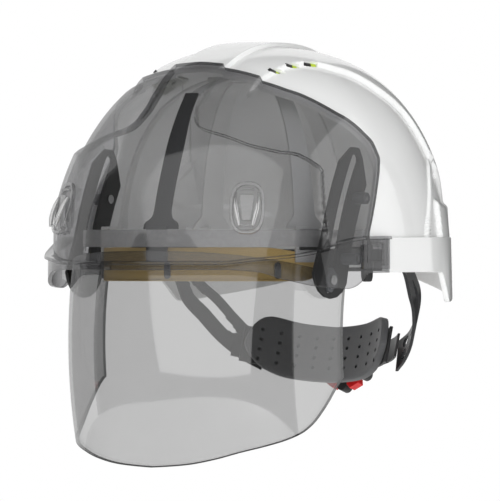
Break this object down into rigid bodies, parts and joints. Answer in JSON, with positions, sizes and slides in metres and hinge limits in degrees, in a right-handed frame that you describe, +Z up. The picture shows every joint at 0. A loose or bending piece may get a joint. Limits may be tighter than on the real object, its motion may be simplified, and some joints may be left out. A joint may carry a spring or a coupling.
{
  "type": "hard hat",
  "caption": "Vented hard hat with a smoked clear front cap, a curved clear face shield that slides up inside it, and a harness with a nape knob that sets its size.",
  "frame": {"origin": "middle of the head opening, level with the lower edge of the headband at the brow", "axes": "the wearer looks along -Y, +X is the wearer's left, +Z up towards the crown"},
  "size_m": [0.2348, 0.2444, 0.2609],
  "materials": {
    "white_shell": "glossy moulded",
    "lime_plastic": "satin moulded",
    "smoke_cap": "smoked clear polycarbonate, glossy",
    "clear_clip": "clear moulded, glossy",
    "black_plastic": "fine texture",
    "grey_plastic": "satin",
    "screw_steel": "bright zinc",
    "frosted_bar": "milky translucent",
    "clear_shield": "optically clear, glossy",
    "dark_harness": "satin moulded",
    "tan_band": "perforated soft synthetic leather, stitched",
    "nape_foam": "soft moulded foam",
    "red_plastic": "satin moulded",
    "black_rubber": "soft grip"
  },
  "bodies": {
    "helmet": {"main_shell": "white_shell", "vent_inserts": "lime_plastic", "front_cap": "smoke_cap", "lamp_clips": "clear_clip", "cap_clip_left": "black_plastic", "cap_clip_right": "black_plastic", "guide_plate_left": "black_plastic", "guide_plate_right": "black_plastic", "guide_spacers": "grey_plastic", "guide_screws": "screw_steel", "brow_bar": "frosted_bar", "cradle": "dark_harness", "harness_keys": "black_plastic", "headband": "dark_harness", "headband_arm_left": "dark_harness", "headband_arm_right": "dark_harness", "sweatband": "tan_band", "sweatband_studs": "grey_plastic", "nape_pad": "nape_foam", "nape_band": "black_plastic", "ratchet_housing": "black_plastic", "ratchet_cover": "black_plastic"},
    "shield": {"face_shield": "clear_shield", "shield_slider_left": "grey_plastic", "shield_slider_right": "grey_plastic", "slider_rivets": "screw_steel"},
    "knob": {"pinion": "grey_plastic", "ratchet_knob": "red_plastic", "knob_grips": "black_rubber", "knob_screw": "screw_steel"},
    "rack_left": {"rack_left": "black_plastic"},
    "rack_right": {"rack_right": "black_plastic"}
  },
  "joints": [
    {"name": "shield_slide", "type": "hinge", "parent": "helmet", "child": "shield", "pos_m": [0, 0.169, -0.037], "axis": [-1, 0, 0], "range_deg": [0, 19]},
    {"name": "knob_turn", "type": "hinge", "parent": "helmet", "child": "knob", "pos_m": [0, 0.09, -0.047], "axis": [0, 0.9563, -0.2924], "range_deg": [-180, 180]},
    {"name": "rack_left_slide", "type": "hinge", "parent": "helmet", "child": "rack_left", "pos_m": [0, 0.01732, -0.02478], "axis": [0, 0.2924, 0.9563], "range_deg": [-9, 9]},
    {"name": "rack_right_slide", "type": "hinge", "parent": "helmet", "child": "rack_right", "pos_m": [0, 0.01732, -0.02478], "axis": [0, 0.2924, 0.9563], "range_deg": [-9, 9]}
  ],
  "couplings": [
    {"joint": "rack_left_slide", "follows": "knob_turn", "ratio": -0.04884},
    {"joint": "rack_right_slide", "follows": "knob_turn", "ratio": 0.047676}
  ]
}
